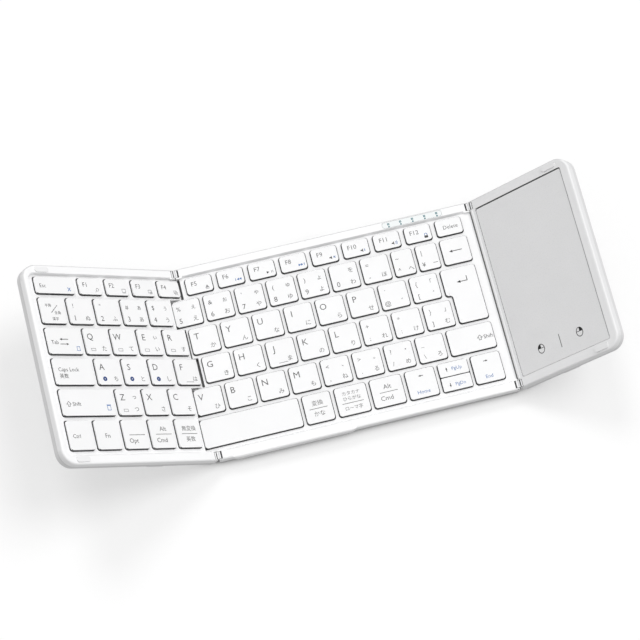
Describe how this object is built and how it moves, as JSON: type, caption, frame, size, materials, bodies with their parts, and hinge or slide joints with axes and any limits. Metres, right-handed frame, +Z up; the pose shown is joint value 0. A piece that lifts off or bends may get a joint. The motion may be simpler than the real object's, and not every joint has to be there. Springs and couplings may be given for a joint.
{
  "type": "folding keyboard",
  "caption": "Slim wireless keyboard in hinged sections: a stepped seam splits the keys, and a narrow wing carries a touchpad. Both wings fold flat over the middle.",
  "frame": {"origin": "middle of the whole keyboard at the rest pose, on the plane of the centre section's rubber feet", "axes": "+X from the left wing towards the touchpad wing, +Y from the front edge to the back edge, +Z up"},
  "size_m": [0.2694, 0.0987, 0.0641],
  "materials": {
    "white_frame": "fine satin",
    "white_shell": "fine satin",
    "key_white": "satin",
    "support_aluminium": "brushed",
    "sensor_film": "smooth film",
    "dome_silicone": "milky silicone",
    "scissor_plastic": "moulded",
    "board_green": "solder mask",
    "steel": "plain",
    "hinge_steel": "light grey coat",
    "cell_foil": "foil pouch",
    "window_plastic": "translucent",
    "white_rubber": "soft matt",
    "ribbon": "polyimide",
    "pad_surface": "very fine matt"
  },
  "bodies": {
    "center": {"center_top_frame": "white_frame", "center_bottom_shell": "white_shell", "center_support_plate": "support_aluminium", "center_membrane": "sensor_film", "center_dome_sheet": "dome_silicone", "center_scissor_frames": "scissor_plastic", "main_board": "board_green", "usb_c_port": "steel", "battery": "cell_foil", "indicator_window": "window_plastic", "center_feet": "white_rubber", "center_screws": "steel", "center_magnets": "steel", "flex_cables": "ribbon", "left_hinge_inner_pins": "hinge_steel", "right_hinge_inner_pins": "hinge_steel"},
    "left_links": {"left_hinge_links": "hinge_steel"},
    "left_wing": {"left_top_frame": "white_frame", "left_bottom_shell": "white_shell", "left_support_plate": "support_aluminium", "left_membrane": "sensor_film", "left_dome_sheet": "dome_silicone", "left_scissor_frames": "scissor_plastic", "left_feet": "white_rubber", "left_screws": "steel", "left_bumpers": "white_rubber", "left_magnet": "steel", "left_hinge_outer_pins": "hinge_steel"},
    "right_links": {"right_hinge_links": "hinge_steel"},
    "right_wing": {"right_top_frame": "white_frame", "right_bottom_shell": "white_shell", "touchpad_plate": "pad_surface", "touchpad_board": "board_green", "right_feet": "white_rubber", "right_screws": "steel", "right_bumpers": "white_rubber", "right_magnet": "steel", "right_hinge_outer_pins": "hinge_steel"},
    "esc_key_body": {"esc_key": "key_white"},
    "left_function_keys_body": {"left_function_keys": "key_white"},
    "left_number_keys_body": {"left_number_keys": "key_white"},
    "tab_key_body": {"tab_key": "key_white"},
    "left_upper_letter_keys_body": {"left_upper_letter_keys": "key_white"},
    "caps_lock_key_body": {"caps_lock_key": "key_white"},
    "left_home_row_keys_body": {"left_home_row_keys": "key_white"},
    "left_shift_key_body": {"left_shift_key": "key_white"},
    "left_lower_letter_keys_body": {"left_lower_letter_keys": "key_white"},
    "left_modifier_keys_body": {"left_modifier_keys": "key_white"},
    "function_keys_body": {"function_keys": "key_white"},
    "number_keys_body": {"number_keys": "key_white"},
    "backspace_key_body": {"backspace_key": "key_white"},
    "upper_letter_keys_body": {"upper_letter_keys": "key_white"},
    "enter_key_body": {"enter_key": "key_white"},
    "home_row_keys_body": {"home_row_keys": "key_white"},
    "lower_letter_keys_body": {"lower_letter_keys": "key_white"},
    "right_shift_key_body": {"right_shift_key": "key_white"},
    "space_key_body": {"space_key": "key_white"},
    "bottom_row_keys_body": {"bottom_row_keys": "key_white"},
    "page_up_key_body": {"page_up_key": "key_white"},
    "page_down_key_body": {"page_down_key": "key_white"}
  },
  "joints": [
    {"name": "left_inner_hinge", "type": "hinge", "parent": "center", "child": "left_links", "pos_m": [-0.06132, 0, 0.0072], "axis": [0, 1, 0], "range_deg": [-19.75, 70.25]},
    {"name": "left_outer_hinge", "type": "hinge", "parent": "left_links", "child": "left_wing", "pos_m": [-0.06339, 0, 0.00794], "axis": [0, 1, 0], "range_deg": [-19.75, 70.25]},
    {"name": "right_inner_hinge", "type": "hinge", "parent": "center", "child": "right_links", "pos_m": [0.08478, 0, 0.0072], "axis": [0, -1, 0], "range_deg": [-19.75, 70.25]},
    {"name": "right_outer_hinge", "type": "hinge", "parent": "right_links", "child": "right_wing", "pos_m": [0.08685, 0, 0.00794], "axis": [0, -1, 0], "range_deg": [-19.75, 70.25]},
    {"name": "esc_key_press", "type": "slide", "parent": "left_wing", "child": "esc_key_body", "axis": [-0.6361, 0, -0.7716], "range_m": [0, 0.0011], "stiffness_N_per_m": 400, "springref_m": -0.0008},
    {"name": "left_function_keys_press", "type": "slide", "parent": "left_wing", "child": "left_function_keys_body", "axis": [-0.6361, 0, -0.7716], "range_m": [0, 0.0011], "stiffness_N_per_m": 400, "springref_m": -0.0008},
    {"name": "left_number_keys_press", "type": "slide", "parent": "left_wing", "child": "left_number_keys_body", "axis": [-0.6361, 0, -0.7716], "range_m": [0, 0.0011], "stiffness_N_per_m": 400, "springref_m": -0.0008},
    {"name": "tab_key_press", "type": "slide", "parent": "left_wing", "child": "tab_key_body", "axis": [-0.6361, 0, -0.7716], "range_m": [0, 0.0011], "stiffness_N_per_m": 400, "springref_m": -0.0008},
    {"name": "left_upper_letter_keys_press", "type": "slide", "parent": "left_wing", "child": "left_upper_letter_keys_body", "axis": [-0.6361, 0, -0.7716], "range_m": [0, 0.0011], "stiffness_N_per_m": 400, "springref_m": -0.0008},
    {"name": "caps_lock_key_press", "type": "slide", "parent": "left_wing", "child": "caps_lock_key_body", "axis": [-0.6361, 0, -0.7716], "range_m": [0, 0.0011], "stiffness_N_per_m": 400, "springref_m": -0.0008},
    {"name": "left_home_row_keys_press", "type": "slide", "parent": "left_wing", "child": "left_home_row_keys_body", "axis": [-0.6361, 0, -0.7716], "range_m": [0, 0.0011], "stiffness_N_per_m": 400, "springref_m": -0.0008},
    {"name": "left_shift_key_press", "type": "slide", "parent": "left_wing", "child": "left_shift_key_body", "axis": [-0.6361, 0, -0.7716], "range_m": [0, 0.0011], "stiffness_N_per_m": 400, "springref_m": -0.0008},
    {"name": "left_lower_letter_keys_press", "type": "slide", "parent": "left_wing", "child": "left_lower_letter_keys_body", "axis": [-0.6361, 0, -0.7716], "range_m": [0, 0.0011], "stiffness_N_per_m": 400, "springref_m": -0.0008},
    {"name": "left_modifier_keys_press", "type": "slide", "parent": "left_wing", "child": "left_modifier_keys_body", "axis": [-0.6361, 0, -0.7716], "range_m": [0, 0.0011], "stiffness_N_per_m": 400, "springref_m": -0.0008},
    {"name": "function_keys_press", "type": "slide", "parent": "center", "child": "function_keys_body", "axis": [0, 0, -1], "range_m": [0, 0.0011], "stiffness_N_per_m": 400, "springref_m": -0.0008},
    {"name": "number_keys_press", "type": "slide", "parent": "center", "child": "number_keys_body", "axis": [0, 0, -1], "range_m": [0, 0.0011], "stiffness_N_per_m": 400, "springref_m": -0.0008},
    {"name": "backspace_key_press", "type": "slide", "parent": "center", "child": "backspace_key_body", "axis": [0, 0, -1], "range_m": [0, 0.0011], "stiffness_N_per_m": 400, "springref_m": -0.0008},
    {"name": "upper_letter_keys_press", "type": "slide", "parent": "center", "child": "upper_letter_keys_body", "axis": [0, 0, -1], "range_m": [0, 0.0011], "stiffness_N_per_m": 400, "springref_m": -0.0008},
    {"name": "enter_key_press", "type": "slide", "parent": "center", "child": "enter_key_body", "axis": [0, 0, -1], "range_m": [0, 0.0011], "stiffness_N_per_m": 400, "springref_m": -0.0008},
    {"name": "home_row_keys_press", "type": "slide", "parent": "center", "child": "home_row_keys_body", "axis": [0, 0, -1], "range_m": [0, 0.0011], "stiffness_N_per_m": 400, "springref_m": -0.0008},
    {"name": "lower_letter_keys_press", "type": "slide", "parent": "center", "child": "lower_letter_keys_body", "axis": [0, 0, -1], "range_m": [0, 0.0011], "stiffness_N_per_m": 400, "springref_m": -0.0008},
    {"name": "right_shift_key_press", "type": "slide", "parent": "center", "child": "right_shift_key_body", "axis": [0, 0, -1], "range_m": [0, 0.0011], "stiffness_N_per_m": 400, "springref_m": -0.0008},
    {"name": "space_key_press", "type": "slide", "parent": "center", "child": "space_key_body", "axis": [0, 0, -1], "range_m": [0, 0.0011], "stiffness_N_per_m": 400, "springref_m": -0.0008},
    {"name": "bottom_row_keys_press", "type": "slide", "parent": "center", "child": "bottom_row_keys_body", "axis": [0, 0, -1], "range_m": [0, 0.0011], "stiffness_N_per_m": 400, "springref_m": -0.0008},
    {"name": "page_up_key_press", "type": "slide", "parent": "center", "child": "page_up_key_body", "axis": [0, 0, -1], "range_m": [0, 0.0011], "stiffness_N_per_m": 400, "springref_m": -0.0008},
    {"name": "page_down_key_press", "type": "slide", "parent": "center", "child": "page_down_key_body", "axis": [0, 0, -1], "range_m": [0, 0.0011], "stiffness_N_per_m": 400, "springref_m": -0.0008}
  ],
  "couplings": [
    {"joint": "left_outer_hinge", "follows": "left_inner_hinge", "ratio": 1},
    {"joint": "right_outer_hinge", "follows": "right_inner_hinge", "ratio": 1}
  ]
}
